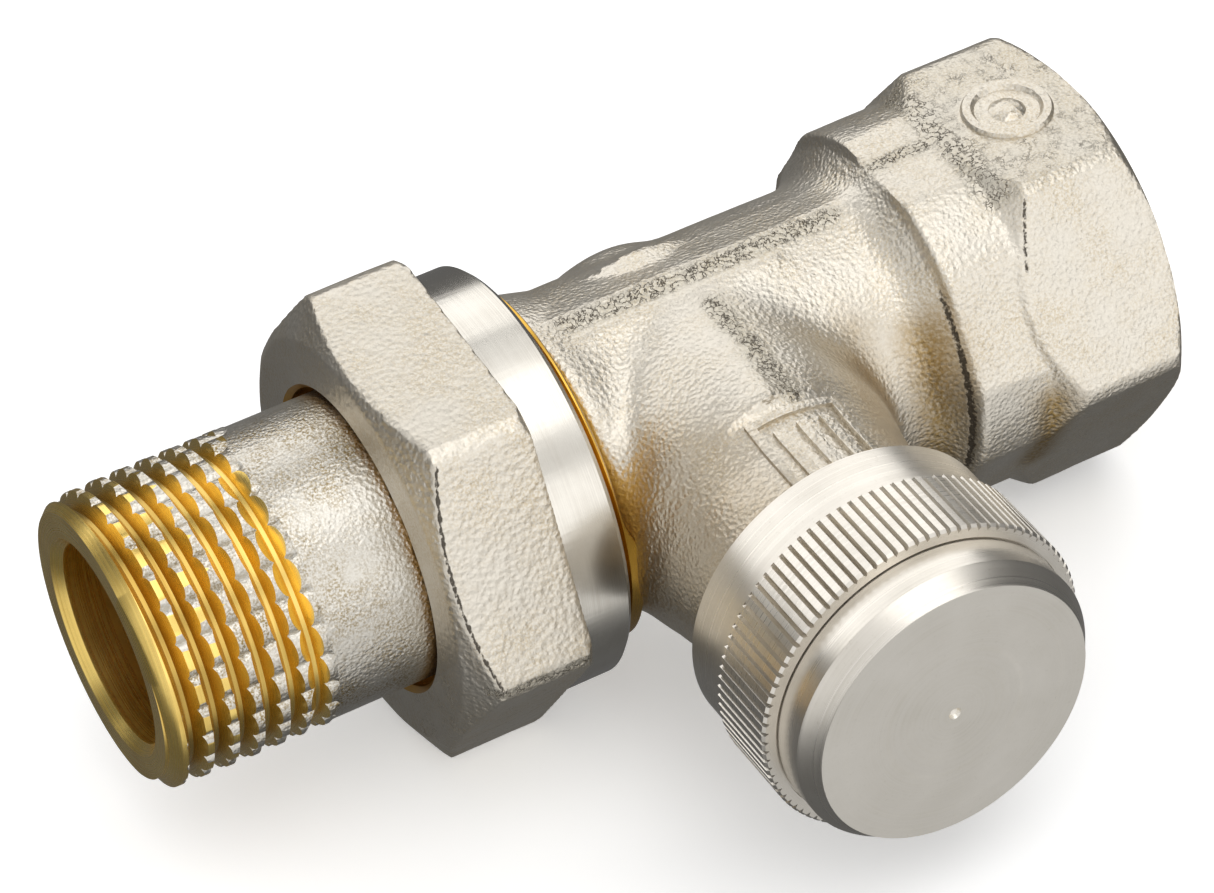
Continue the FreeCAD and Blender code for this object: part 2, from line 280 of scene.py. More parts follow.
def remap(tree, value, low, high, to_low=0.0, to_high=1.0):
    """The value stretched from one range to another, and held inside it."""
    node = tree.nodes.new("ShaderNodeMapRange")
    tree.links.new(value, node.inputs["Value"])
    limits = {"From Min": low, "From Max": high, "To Min": to_low, "To Max": to_high}
    for socket, number in limits.items():
        node.inputs[socket].default_value = number
    return node.outputs["Result"]


def calc(tree, operation, first, second=0.0):
    """One sum, whose terms are sockets or numbers."""
    node = tree.nodes.new("ShaderNodeMath")
    node.operation = operation
    for socket, value in zip(node.inputs, (first, second)):
        if isinstance(value, bpy.types.NodeSocket):
            tree.links.new(value, socket)
        else:
            socket.default_value = value
    return node.outputs[0]


def blend_colors(tree, amount, first, second):
    """The first colour turning into the second as the amount grows."""
    node = tree.nodes.new("ShaderNodeMix")
    node.data_type = "RGBA"
    tree.links.new(amount, node.inputs["Factor"])
    color_inputs = [socket for socket in node.inputs if socket.type == "RGBA"]
    for socket, value in zip(color_inputs, (first, second)):
        if isinstance(value, bpy.types.NodeSocket):
            tree.links.new(value, socket)
        else:
            socket.default_value = (*value, 1)
    return next(socket for socket in node.outputs if socket.type == "RGBA")


def lathe_place(tree, axis):
    """Object coordinates turned into distance along the axis and from it, for turning marks."""
    place = tree.nodes.new("ShaderNodeTexCoord").outputs["Object"]
    centred = tree.nodes.new("ShaderNodeMapping")
    tree.links.new(place, centred.inputs["Vector"])
    if axis == "stem":
        centred.inputs["Location"].default_value = (-STEM_X * MM, 0, 0)
    parts = tree.nodes.new("ShaderNodeSeparateXYZ")
    tree.links.new(centred.outputs[0], parts.inputs[0])
    along, across, up = (("X", "Y", "Z") if axis == "pipe" else ("Y", "X", "Z"))
    square = calc(tree, "ADD", calc(tree, "MULTIPLY", parts.outputs[across], parts.outputs[across]),
                  calc(tree, "MULTIPLY", parts.outputs[up], parts.outputs[up]))
    radius = calc(tree, "SQRT", square)
    joined = tree.nodes.new("ShaderNodeCombineXYZ")
    tree.links.new(parts.outputs[along], joined.inputs["X"])
    tree.links.new(radius, joined.inputs["Y"])
    return place, joined.outputs[0]


def bump(tree, height, strength, depth, shader):
    """Shades the height as a relief of the given depth in millimetres."""
    node = tree.nodes.new("ShaderNodeBump")
    node.inputs["Strength"].default_value = strength
    node.inputs["Distance"].default_value = depth * MM
    tree.links.new(height, node.inputs["Height"])
    tree.links.new(node.outputs["Normal"], shader.inputs["Normal"])


# The next brown darkens turned brass: painted shade in the tail's thread roots, and one darker side of
# the union thread.
DARKENING_BROWN = (0.28, 0.15, 0.02)
# Painted shade: the next brown darkens the body's valleys.
VALLEY_SHADE_BROWN = (0.34, 0.225, 0.08)
PITTED_GREY = (0.33, 0.30, 0.22)
# Black for cracks in the plating, and for painted shade in folds.
CRACK_AND_SHADE_BLACK = (0.07, 0.058, 0.045)


def turned_metal(name, axis, color, dark, roughness, marks, depth, speckle=0.0):
    """Turned metal: fine rings from the tool, a little tarnished tone, and a darker brown where the
    piece's attribute says: painted shade in the tail's thread roots, and one darker side of the union
    thread.
    """
    finish, tree, shader = finish_nodes(name, color, roughness)
    place, lathe = lathe_place(tree, axis)
    rings = noise(tree, lathe, marks, 4, 0.7)
    cloud = noise(tree, place, 3.5, 4)
    fine = noise(tree, place, 0.25, 2)
    shade = calc(tree, "MULTIPLY", remap(tree, rings, 0.35, 0.75, 0.2, 1),
                 remap(tree, cloud, 0.3, 0.75))
    shade = calc(tree, "ADD", shade, remap(tree, fine, 0.62, 0.75, 0, speckle))
    darkening = add_node(tree, "ShaderNodeAttribute", attribute_name="darkening").outputs["Fac"]
    base = blend_colors(tree, shade, color, dark)
    # Darker brown where the attribute says: painted shade in the tail's thread roots, and one darker side
    # of the union thread.
    base = blend_colors(tree, calc(tree, "MULTIPLY", darkening, 0.6), base, DARKENING_BROWN)
    tree.links.new(base, shader.inputs["Base Color"])
    tree.links.new(remap(tree, rings, 0.3, 0.7, roughness * 0.8, roughness * 1.25),
                   shader.inputs["Roughness"])
    bump(tree, rings, 0.5, depth, shader)
    return finish


def forged_nickel(name, color, roughness=0.38, grain=0.33, depth=0.062,
                  tint=(0.55, 0.44, 0.27), mottle=0.55):
    """Nickel plate over a shot-blasted forging: a pebbled skin, with fine cracks along the die seams,
    dark lines that are partly painted shade in folds, and brown painted shade in the valleys, where
    the piece's own attributes say."""
    finish, tree, shader = finish_nodes(name, color, roughness)
    place = tree.nodes.new("ShaderNodeTexCoord").outputs["Object"]
    dent = add_node(
        tree, "ShaderNodeTexVoronoi", feature="SMOOTH_F1", Scale=1 / (grain * MM), Smoothness=0.5)
    tree.links.new(place, dent.inputs["Vector"])
    pebble = noise(tree, place, grain * 0.8, 2, 0.5)
    fine = noise(tree, place, 0.15, 2, 0.5)
    cloud = noise(tree, place, 4.0, 4)
    lumps = noise(tree, place, 1.1, 3, 0.6)
    pits = add_node(tree, "ShaderNodeAttribute", attribute_name="pits").outputs["Fac"]
    shade_and_dark_lines = add_node(tree, "ShaderNodeAttribute", attribute_name="shade_and_dark_lines").outputs["Fac"]
    painted_valley_shade = add_node(tree, "ShaderNodeAttribute", attribute_name="painted_valley_shade").outputs["Fac"]
    warm = calc(tree, "MULTIPLY", remap(tree, cloud, 0.36, 0.64), remap(tree, fine, 0.42, 0.62))
    base = blend_colors(tree, calc(tree, "MULTIPLY", warm, mottle), color, tint)
    # Brown painted shade in the valleys, where the attribute says.
    valley_shade = calc(tree, "MULTIPLY", painted_valley_shade, remap(tree, pebble, 0.35, 0.6, 0.6, 1))
    base = blend_colors(tree, valley_shade, base, VALLEY_SHADE_BROWN)
    base = blend_colors(tree, calc(tree, "MULTIPLY", pits, 0.35), base, PITTED_GREY)
    vein = calc(tree, "ABSOLUTE", calc(tree, "SUBTRACT", noise(tree, place, 0.55, 3, 0.6), 0.5))
    crack = remap(tree, vein, 0.008, 0.04, 1, 0)
    where = remap(tree, calc(tree, "ADD", pits, calc(tree, "MULTIPLY", lumps, 1.2)), 0.94, 1.36)
    gap = calc(tree, "MULTIPLY", crack, where)
    # Black lines where the attribute says: partly painted shade in folds, partly dark lines and trimmed
    # flash.
    line = remap(tree, calc(tree, "ADD", shade_and_dark_lines, calc(tree, "MULTIPLY", pebble, 1.1)), 1.16, 1.42)
    cracks_and_shade_lines = calc(tree, "MAXIMUM", gap, line)
    base = blend_colors(tree, calc(tree, "MULTIPLY", cracks_and_shade_lines, 0.9), base, CRACK_AND_SHADE_BLACK)
    tree.links.new(base, shader.inputs["Base Color"])
    tree.links.new(calc(tree, "ADD", remap(tree, fine, 0.3, 0.7, roughness * 0.85, roughness * 1.15),
                        calc(tree, "MULTIPLY", cracks_and_shade_lines, 0.25)), shader.inputs["Roughness"])
    dents = calc(tree, "MULTIPLY", dent.outputs["Distance"], 0.9)
    skin = calc(tree, "SUBTRACT", calc(tree, "ADD", pebble, dents), calc(tree, "MULTIPLY", cracks_and_shade_lines, 0.6))
    bump(tree, skin, 0.9, depth, shader)
    return finish


def paint(piece, name, rule):
    """Stores a 0 to 1 value on every vertex, from its place in millimetres and its normal."""
    layer = piece.data.attributes.new(name, "FLOAT", "POINT")
    values = [min(1.0, max(0.0, rule(*(v.co / MM), v.normal.copy()))) for v in piece.data.vertices]
    layer.data.foreach_set("value", values)


def smooth_shading(piece, angle):
    """Shades the piece smooth, apart from edges sharper than the angle."""
    bpy.context.view_layer.objects.active = piece
    piece.select_set(True)
    bpy.ops.object.shade_smooth_by_angle(angle=math.radians(angle))
    bpy.ops.object.select_all(action="DESELECT")


cut_brass = turned_metal(
    "cut_brass", "pipe", (0.97, 0.71, 0.22), (0.60, 0.38, 0.08), 0.27, marks=0.16, depth=0.005)
barrel_nickel = forged_nickel(
    "barrel_nickel", (0.64, 0.61, 0.55), 0.34, grain=0.28, depth=0.045,
    tint=(0.30, 0.22, 0.10), mottle=1.0)

tail = turned("tailpiece_blank", "pipe", [
    (TAIL_END, 7.75), (TAIL_END, 9.55), (TAIL_END + 0.95, RIB_TOP), (TAIL_END + 1.2, RIB_TOP),
    (RIB_END - 0.12, RIB_TOP), (RIB_END + 0.2, BARREL_R), (RIB_END + 0.26, BARREL_R),
    (HEAD_BACK - 0.3, BARREL_R), (HEAD_BACK, BARREL_R), (HEAD_BACK, 11.8), (HEAD_BACK + 0.25, 12.0),
    (-51.6, 12.0), (-51.1, 11.15), (-49.4, 9.4), (-48.65, 9.4), (-48.65, 8.2), (-47.15, 8.2),
    (-47.15, 9.4), (-46.3, 9.4), (-46.1, 9.1), (-46.1, 7.5), (-46.5, TAIL_BORE_R),
    (TAIL_END + 0.65, TAIL_BORE_R), (TAIL_END, 7.75)], RIB_COUNT * RIB_STEPS)
# The ribs end along the thread's last turn, which climbs one pitch round the pipe and then steps back.
for vertex in tail.data.vertices:
    around_angle = math.atan2(vertex.co.y, vertex.co.z)
    reach = math.hypot(vertex.co.y, vertex.co.z)
    outside = reach > 10 * MM
    in_ribs = TAIL_END + 1 < vertex.co.x / MM < RIB_END - 0.05 and outside
    turn_part = (LAST_TURN_LEAN - math.degrees(around_angle)) % 360
    if outside and abs(vertex.co.x / MM - RIB_END) < 0.5:
        climb = min(turn_part, (360 - turn_part) * STEP_STEEPNESS) - LAST_TURN_LEAN
        vertex.co.x += PIPE_PITCH * climb / 360 * MM
    if in_ribs:
        lobe = abs(math.sin(around_angle * RIB_COUNT / 2))
        shrink = 1 - RIB_DEPTH * (1 - lobe ** 0.6) / RIB_TOP
        vertex.co.y *= shrink
        vertex.co.z *= shrink
tail.data.materials.append(barrel_nickel)
tail.data.materials.append(cut_brass)
for face in tail.data.polygons:
    reach = math.hypot(face.center.y, face.center.z) / MM
    plated = reach > 9.9 and TAIL_END + 0.96 < face.center.x / MM < HEAD_BACK - 0.01
    face.material_index = 0 if plated else 1

taper_tool = turned("taper_tool", "pipe", [
    (TAIL_END - 1, 10.22), (TAIL_END + 11, 10.60), (TAIL_END + 11, 13), (TAIL_END - 1, 13),
    (TAIL_END - 1, 10.22)], 128)
taper_tool.data.materials.append(cut_brass)
machine(tail, taper_tool)
# Each die's start, turns, bottom radius, taper and flank angle: the taper thread itself, and the
# shallow wide cut that its last turn leaves on the barrel.
TAIL_DIES = (
    (TAIL_END - 2.3, 8, 9.12, PIPE_TAPER, FLANK_ANGLE),
    (-65.1, 1, 9.76, 0.0, 50))
for start, turns, bottom, slope, flank in TAIL_DIES:
    die = thread_groove("tail_die", "pipe", start, turns, PIPE_PITCH, bottom, 10.62,
                        steps=120, slope=slope, flank=flank, fade=0.35)
    die.data.materials.append(cut_brass)
    machine(tail, die)
for side in (1, -1):
    bpy.ops.mesh.primitive_cube_add(size=1, location=(-59.5 * MM, 0, side * 6.7 * MM),
                                    scale=(9 * MM, 3 * MM, 1.8 * MM))
    lug = bpy.context.object
    lug.name = "key_lug"
    lug.data.materials.append(cut_brass)
    machine(tail, settle(lug), "UNION")


def tail_root_shade(x, y, z, facing):
    """Painted shade: a darker brown towards the roots of the thread."""
    reach = math.hypot(y, z)
    if reach > 8.9 and TAIL_END + 1 < x < RIB_END + 2:
        return (9.62 - reach) * 3
    return 0.0


# Painted shade in the thread roots, stored for the brass finish.
paint(tail, "darkening", tail_root_shade)
smooth_shading(tail, 35)
tail.name = "tailpiece_threaded"
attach(tail, "tail")
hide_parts("tailpiece")


# ---- The union nut ----
# A forged brass hexagon, blasted and plated, with its collar, bore and tail-side chamfer turned
# bright afterwards. It runs on the body's G 3/4 thread and draws the tailpiece's head to the seat.
NUT_BACK = -56.6
NUT_COLLAR = -48.0
NUT_MOUTH = -43.9
NUT_FLATS = 30
NUT_TURN = 6
WAVE_SIZE = 4.2
WAVE_HEIGHT = 0.1
UNION_FACE = -50.9
NICKEL = (0.69, 0.645, 0.565)

nut_nickel = forged_nickel("nut_nickel", NICKEL, 0.40, grain=0.42, depth=0.06)
collar_nickel = turned_metal(
    "collar_nickel", "pipe", (0.70, 0.67, 0.61), (0.50, 0.46, 0.40), 0.20, marks=0.12, depth=0.004)
nut_bore = turned_metal(
    "nut_bore_brass", "pipe", (0.72, 0.42, 0.09), (0.30, 0.15, 0.03), 0.3, marks=0.2, depth=0.006)


def hexagon(name, flats, low, high, turn):
    """A hexagonal bar on the pipe's axis; turn 0 has a flat on top."""
    bpy.ops.mesh.primitive_cylinder_add(
        vertices=6, radius=flats / math.sqrt(3) * MM, depth=(high - low) * MM,
        location=((low + high) / 2 * MM, 0, 0), rotation=(0, math.pi / 2, 0))
    bar = bpy.context.object
    bar.name = name
    bpy.ops.object.transform_apply(location=True, rotation=True, scale=True)
    corner = max(bar.data.vertices, key=lambda v: v.co.z)
    lean = math.atan2(-corner.co.y, corner.co.z)
    spin = math.radians(30 + turn) - lean
    cosine, sine = math.cos(spin), math.sin(spin)
    for vertex in bar.data.vertices:
        y, z = vertex.co.y, vertex.co.z
        vertex.co.y = y * cosine - z * sine
        vertex.co.z = y * sine + z * cosine
    return settle(bar)


def forge(piece, grid, passes):
    """Turns joined rough solids into one soft forging: remeshed, smoothed and waved a little."""
    apply_modifier(piece, "REMESH", mode="VOXEL", voxel_size=grid * MM)
    apply_modifier(piece, "SMOOTH", factor=0.5, iterations=passes)
    waves = bpy.data.textures.new(piece.name + "_waves", "CLOUDS")
    waves.noise_scale = WAVE_SIZE * MM
    apply_modifier(piece, "DISPLACE", texture=waves, strength=WAVE_HEIGHT * MM, mid_level=0.5,
                   texture_coords="LOCAL")


def give_finish(piece, finish):
    """Makes the finish the piece's only one."""
    piece.data.materials.clear()
    piece.data.materials.append(finish)
    piece.data.polygons.foreach_set("material_index", [0] * len(piece.data.polygons))


def near(value, middle, width):
    """1 at the middle, falling away over the width."""
    return math.exp(-((value - middle) / width) ** 2)


def within(value, low, high, soft):
    """1 between low and high, with soft ends."""
    return 1 / (1 + math.exp(-(value - low) / soft * 4)) / (1 + math.exp((value - high) / soft * 4))


def lean_of(y, z):
    """The angle round the pipe from straight up, towards the cap, in degrees."""
    return math.degrees(math.atan2(-y, z))


nut = hexagon("union_nut_forging", NUT_FLATS, NUT_BACK, NUT_COLLAR, turn=NUT_TURN)
nut_envelope = turned("nut_envelope", "pipe", [
    (NUT_BACK, 14.3), (NUT_BACK + 1.6, 17.0), (NUT_COLLAR - 0.4, 17.0), (NUT_COLLAR, 16.6)], 96, True)
machine(nut, nut_envelope, "INTERSECT")
forge(nut, grid=0.22, passes=3)


def nut_pits(x, y, z, facing):
    """Cracked plating on one corner and a little on the top flat, and greyer and more cracked over the
    whole low side.
    """
    lean = lean_of(y, z)
    reach = math.hypot(y, z)
    corner = near((lean - NUT_TURN) % 60, 30, 2.0) * within(reach, 15.8, 19, 0.5)
    corner *= within(lean, 84, 110, 4)
    low_side = 0.35 * within(lean, 100, 260, 12)
    top_flat = 0.22 * within(lean, -20, 34, 3) * within(reach, 14.9, 17.2, 0.2)
    return max(corner, low_side, top_flat)


def nut_chamfer_shade(x, y, z, facing):
    """Painted shade: black on the chamfer's facets that face towards the cap and a little towards the
    nut's back end, where two of the flats turn into the end's chamfer.
    """
    lean = lean_of(y, z)
    turned_in = within(-facing.x, 0.12, 0.62, 0.12) * within(facing.y, -1, -0.55, 0.1)
    on_chamfer = within(math.hypot(y, z), 14.7, 17.6, 0.1) * within(x, -56.5, -54.2, 0.2)
    return turned_in * on_chamfer * within(lean, 37, 98, 3)


give_finish(nut, nut_nickel)
collar = turned("nut_collar", "pipe", [
    (NUT_COLLAR - 2, 14.75), (NUT_MOUTH - 0.35, 14.75), (NUT_MOUTH, 14.4)], 160, True)
collar.data.materials.append(collar_nickel)
machine(nut, collar, "UNION")
nut_hollow = turned("nut_hollow", "pipe", [
    (NUT_MOUTH + 1, 13.9), (NUT_MOUTH, 13.5), (NUT_MOUTH - 1.2, 12.35), (UNION_FACE - 0.6, 12.35),
    (UNION_FACE - 0.6, 12.3), (-54.5, 12.3), (-54.5, 10.75), (NUT_BACK + 0.35, 10.75),
    (NUT_BACK - 0.4, 11.5)], 128, True)
nut_hollow.data.materials.append(nut_bore)
machine(nut, nut_hollow)
nut_tap = thread_groove(
    "nut_tap", "pipe", UNION_FACE - 0.4 + PIPE_PITCH / 2, 5, PIPE_PITCH, bottom=13.2, mouth=12.15)
nut_tap.data.materials.append(nut_bore)
machine(nut, nut_tap)
paint(nut, "pits", nut_pits)
paint(nut, "shade_and_dark_lines", nut_chamfer_shade)
smooth_shading(nut, 32)
nut.name = "union_nut_finished"
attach(nut, "nut")
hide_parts("union_nut")


# ---- The valve body ----
# One brass forging, shot blasted and nickel plated: a tube with a ridge along its top, the branch for
# the stem, a boss behind it, and the socket's hexagon, with a small plaque and a round mark raised on
# them. The bores are machined last, and the threads are pieces of their own.
HEX_FLATS = 27
MARK_X = -5.1
MARK_HEIGHT = 13.22
TUBE_R = 11.0

body_nickel = forged_nickel("body_nickel", NICKEL)


def ridge_bar(name, axis, low, high, radius, lift=1.0):
    """The roof that the dies leave on a round bar: two flats that meet in a ridge, above and below."""
    half = radius * math.sin(math.radians(20))
    shoulder = radius * math.cos(math.radians(20))
    top = shoulder + lift * (radius / math.cos(math.radians(20)) - shoulder)
    middle = (on_axis(axis, low) + on_axis(axis, high)) / 2
    length = abs(high - low)
    size = (length, 2 * half, 2 * shoulder) if axis == "pipe" else (2 * half, length, 2 * shoulder)
    bpy.ops.mesh.primitive_cube_add(size=1, location=middle, scale=[s * MM for s in size])
    bar = bpy.context.object
    bar.name = name
    bpy.ops.object.transform_apply(location=True, rotation=True, scale=True)
    pinch = (1, 0.02, 1) if axis == "pipe" else (0.02, 1, 1)
    for side in (1, -1):
        bpy.ops.object.mode_set(mode="EDIT")
        bpy.ops.mesh.select_mode(type="FACE")
        bpy.ops.mesh.select_all(action="DESELECT")
        bpy.ops.object.mode_set(mode="OBJECT")
        for face in bar.data.polygons:
            face.select = face.normal.z * side > 0.9
        bpy.ops.object.mode_set(mode="EDIT")
        bpy.ops.mesh.extrude_region()
        bpy.ops.transform.translate(value=(0, 0, side * (top - shoulder) * MM))
        bpy.ops.transform.resize(value=pinch, center_override=middle)
        bpy.ops.mesh.select_mode(type="VERT")
        bpy.ops.object.mode_set(mode="OBJECT")
    return settle(bar)


def join_rough(name, parts):
    """Joins overlapping rough solids into one object for forge()."""
    for part in parts:
        part.select_set(True)
    bpy.context.view_layer.objects.active = parts[0]
    bpy.ops.object.join()
    parts[0].name = name
    bpy.ops.object.select_all(action="DESELECT")
    return parts[0]


def break_edges(piece, width, angle):
    """Rounds every edge sharper than the angle."""
    apply_modifier(piece, "BEVEL", width=width * MM, segments=2, limit_method="ANGLE",
                   angle_limit=math.radians(angle), harden_normals=False)


tube = turned("tube", "pipe", [
    (-42.7, 11.9), (-41.6, 11.65), (-39.0, 11.0), (-18.9, 10.9), (-18.1, 11.15), (-17.3, 11.8),
    (-16.6, 12.6), (-16.0, 12.85), (-8, 12.85)], 96, True)
tube_ridge = ridge_bar("tube_ridge", "pipe", -41.6, -16, TUBE_R)
neck = hexagon("neck", 26.4, -16.2, -9, 2)
neck_round = turned("neck_round", "pipe", [(-16.35, 13.3), (-16.0, 13.75), (-9, 13.85)], 96, True)
machine(neck, neck_round, "INTERSECT")
socket_hex = hexagon("socket_hex", HEX_FLATS, -12.6, 0.6, 0)
hex_envelope = turned("hex_envelope", "pipe", [
    (-12.6, 12.3), (-8.7, 15.3), (-1.1, 15.3), (0.6, 13.0)], 128, True)
machine(socket_hex, hex_envelope, "INTERSECT")
branch = turned("branch", "stem", [
    (-4, 11.0), (4, 11.0), (8.5, 10.9), (12, 10.6), (14.5, 10.0), (17, 9.6), (21.6, 9.45)], 96, True)
branch_ridge = ridge_bar("branch_ridge", "stem", 0.5, 13.9, 10.4, 0.9)
skirt = turned("skirt", "stem", [(2, 13.6), (6.5, 12.6), (10, 10.6)], 64, True)
skirt_keep = hexagon("skirt_keep", 21.6, -50, -18.4, 30)
machine(skirt, skirt_keep, "INTERSECT")
boss = turned("boss", "stem", [
    (-11.4, 1.5), (-11.2, 3.4), (-10.6, 5.0), (-9.9, 6.3), (-9.0, 7.6), (-7.6, 8.5), (-6.0, 8.7),
    (0, 8.7)], 96, True)
body = join_rough("valve_body_forging", [
    tube, tube_ridge, neck, socket_hex, branch, branch_ridge, skirt, boss])
forge(body, grid=0.26, passes=2)
blend_group = body.vertex_groups.new(name="fillet")
for vertex in body.data.vertices:
    x, y, z = vertex.co / MM
    stem_reach = math.hypot(x - STEM_X, z)
    pipe_reach = math.hypot(y, z)
    root = near(pipe_reach, 12.0, 3.4) * near(stem_reach, 12.0, 3.4) * within(-y, 2.6, 14.0, 1.2)
    behind = near(pipe_reach, 11.0, 1.4) * near(stem_reach, 8.7, 1.4) * within(y, 4.0, 10.0, 1.0)
    dip = near(x, -18.3, 1.6) * within(pipe_reach, 10, 13.2, 0.6)
    crown = within(-y, 13.6, 30, 0.5)
    weight = max(root, behind * 0.25, dip * 0.4) * (1 - crown)
    if weight > 0.02:
        blend_group.add([vertex.index], min(1.0, weight), "REPLACE")
apply_modifier(body, "SMOOTH", factor=0.9, iterations=110, vertex_group="fillet")

# Each bar's place along the pipe, rise, width and length: a frame open on one side, and three bars.
PLAQUE_BARS = (
    (-31.35, 14.95, 6.9, 0.6), (-34.5, 18.2, 0.6, 6.6), (-28.2, 18.2, 0.6, 6.6),
    (-33.1, 18.8, 0.8, 5.4), (-31.35, 18.8, 0.8, 5.4), (-29.6, 18.8, 0.8, 5.4))
plaque = []
for place, rise, width, length in PLAQUE_BARS:
    bpy.ops.mesh.primitive_cube_add(size=1, location=(place * MM, -rise * MM, 9.5 * MM),
                                    scale=(width * MM, length * MM, 4 * MM))
    plaque.append(settle(bpy.context.object))
for bar in plaque[1:]:
    machine(plaque[0], bar, "UNION")
plaque_skin = turned("plaque_skin", "stem", [
    (13, 10.65), (14.5, 10.3), (17, 9.93), (22, 9.78)], 160, True)
machine(plaque[0], plaque_skin, "INTERSECT")
break_edges(plaque[0], 0.14, 40)
machine(body, plaque[0], "UNION")
mark = turned("round_mark", "pipe", [
    (0, 3.25), (0.42, 3.2), (0.6, 3.05), (0.6, 2.5), (0.3, 2.25), (0.3, 1.3), (0.52, 1.05),
    (0.62, 0.5)], 64, True)
for vertex in mark.data.vertices:
    vertex.co = Vector((vertex.co.z + MARK_X * MM, -vertex.co.y, vertex.co.x + MARK_HEIGHT * MM))
machine(body, settle(mark), "UNION")

give_finish(body, body_nickel)
facing_tool = turned("facing_tool", "pipe", [
    (-1.25, 15.9), (0.0, 13.55), (0.0, 3.0), (3, 3.0), (3, 18), (-1.25, 18), (-1.25, 15.9)], 160)
facing_tool.data.materials.append(cut_brass)
bores = turned("socket_bore", "pipe", [
    (2, 12.4), (0.1, 10.62), (-13.2, 10.6), (-13.2, 9.0), (-15, 7.4)], 96, True)
bores.data.materials.append(cut_brass)


def rod(start, end, radius, around=48):
    """A round drill between two points in millimetres."""
    start, end = Vector(start) * MM, Vector(end) * MM
    bpy.ops.mesh.primitive_cylinder_add(
        vertices=around, radius=radius * MM, depth=(end - start).length, location=(start + end) / 2,
        rotation=(end - start).to_track_quat("Z", "Y").to_euler())
    return settle(bpy.context.object)


drills = [
    rod((-30, 4, 0), (-14, 4, 0), 4.0),
    rod((STEM_X, 6.6, 0), (STEM_X, -2.3, 0), 4.6),
    rod((STEM_X, -2.2, 0), (STEM_X, -28.2, 0), 7.4, 64),
    rod((STEM_X - 6.4, -6.2, 0), (STEM_X - 6.4 - 9.759, -6.2 + 5.075, 0), 4.2),
    turned("spigot_bore", "pipe", [
        (-52, 11.7), (-51.4, 11.7), (-49.3, 9.6), (-45.9, 9.6), (-45.3, 7.2)], 96, True)]
for drill in drills:
    drill.data.materials.append(cut_brass)
    machine(bores, drill, "UNION")
machine(bores, facing_tool, "UNION")
machine(body, bores)


def body_pits(x, y, z, facing):
    """Cracked plating along the dies' seams and on the hexagon's top flat, and greyer and more cracked on
    its lower flat.
    """
    lean = lean_of(y, z)
    seam = lean if z > 0 else 180 - abs(lean)
    tube_seam = near(seam, 4, 4.2) * within(x, -41, -19, 1.5)
    stem_seam = near(x, -30.6, 1.0) * within(-y, 3.0, 14.3, 1.0) * within(abs(z), 8.5, 12, 0.4)
    neck_seam = near(lean, -1, 3.5) * within(x, -16.3, -11, 0.8) * 0.9
    off_mark = 1 - within(math.hypot(x - MARK_X, y), -9, 3.3, 0.3)
    top_flat = off_mark * within(x, -11.6, 0, 0.8) * within(lean, -31, 31, 2)
    top_flat *= 0.42 + 0.35 * near(x, -10.4, 1.0)
    low_flat = within(x, -10, 0, 0.8) * within(lean, 92, 150, 2) * 0.3
    return max(tube_seam, stem_seam, neck_seam, top_flat, low_flat)


def body_shade_and_dark_lines(x, y, z, facing):
    """Dark lines: painted shade in the fold round the neck, a dark line along the hexagon's back, and
    trimmed flash on one of its corners.
    """
    lean = lean_of(y, z)
    neck_line = near(x, -16.4, 0.26) * within(lean, 44, 116, 9)
    bow = 1.9 * math.sin(math.radians(max(0, (lean - 30)) * 3))
    hex_line = near(x, -8.7 - bow, 0.2) * within(lean, 30, 52, 5)
    flash = near(lean, 90, 0.9) * within(x, -9, 0, 0.5) * within(math.hypot(y, z), 14, 16, 0.3)
    return max(neck_line, hex_line, flash * 0.8)


def body_valley_shade(x, y, z, facing):
    """Painted shade: brown in the valleys on both sides of the branch, on the hexagon's lower ramp and in
    the valley to the left.
    """
    lean = lean_of(y, z)
    reach = math.hypot(y, z)
    valley = near(x, -18.0, 2.0) * within(lean, 50, 122, 10) * within(reach, 9, 13.4, 0.5)
    flank = 0.5 * near(x, -22.6, 1.8) * within(lean, 40, 80, 10) * within(reach, 9, 13.5, 0.5)
    ramp = near(x, -10.6, 1.3) * within(lean, 86, 125, 6)
    left_valley = 0.42 * near(x, -37.6, 3.2) * within(lean, 52, 125, 14)
    return max(valley * 0.95, flank, ramp, left_valley)


paint(body, "pits", body_pits)
paint(body, "shade_and_dark_lines", body_shade_and_dark_lines)
paint(body, "painted_valley_shade", body_valley_shade)
smooth_shading(body, 40)
body.name = "valve_body_finished"
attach(body, "valve")
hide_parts("valve_body")


# ---- The body's threads ----
# G 3/4 for the union nut, Rp 1/2 in the socket and a fine thread for the cap, all cut in the brass
# through the plating. Each is its own ring on the body's bores and spigots.
UNION_THREAD_R = 13.1
BRANCH_MOUTH = 27.2
CAP_PITCH = 1.0

union_brass = turned_metal(
    "union_brass", "pipe", (0.80, 0.49, 0.09), (0.36, 0.19, 0.03), 0.26, marks=0.2, depth=0.006)
union_spigot = turned("union_thread", "pipe", [
    (UNION_FACE, 11.2), (UNION_FACE, 12.4), (UNION_FACE + 0.7, UNION_THREAD_R), (-43.1, UNION_THREAD_R),
    (-42.95, 12.9), (-42.4, 11.4), (-42.4, 9.0), (-45.9, 9.0), (-45.9, 9.6), (-49.3, 9.6),
    (UNION_FACE, 11.2)], 128)
for vertex in union_spigot.data.vertices:
    if vertex.co.x / MM > -43.3 and math.hypot(vertex.co.y, vertex.co.z) > 12.5 * MM:
        vertex.co.x += 0.95 * MM * within(lean_of(vertex.co.y, vertex.co.z), 78, 128, 10)
union_spigot.data.materials.append(union_brass)
union_die = thread_groove(
    "union_die", "pipe", UNION_FACE - 0.4, 5, PIPE_PITCH, bottom=12.05, mouth=13.3, fade=0.5)
union_die.data.materials.append(union_brass)
machine(union_spigot, union_die)
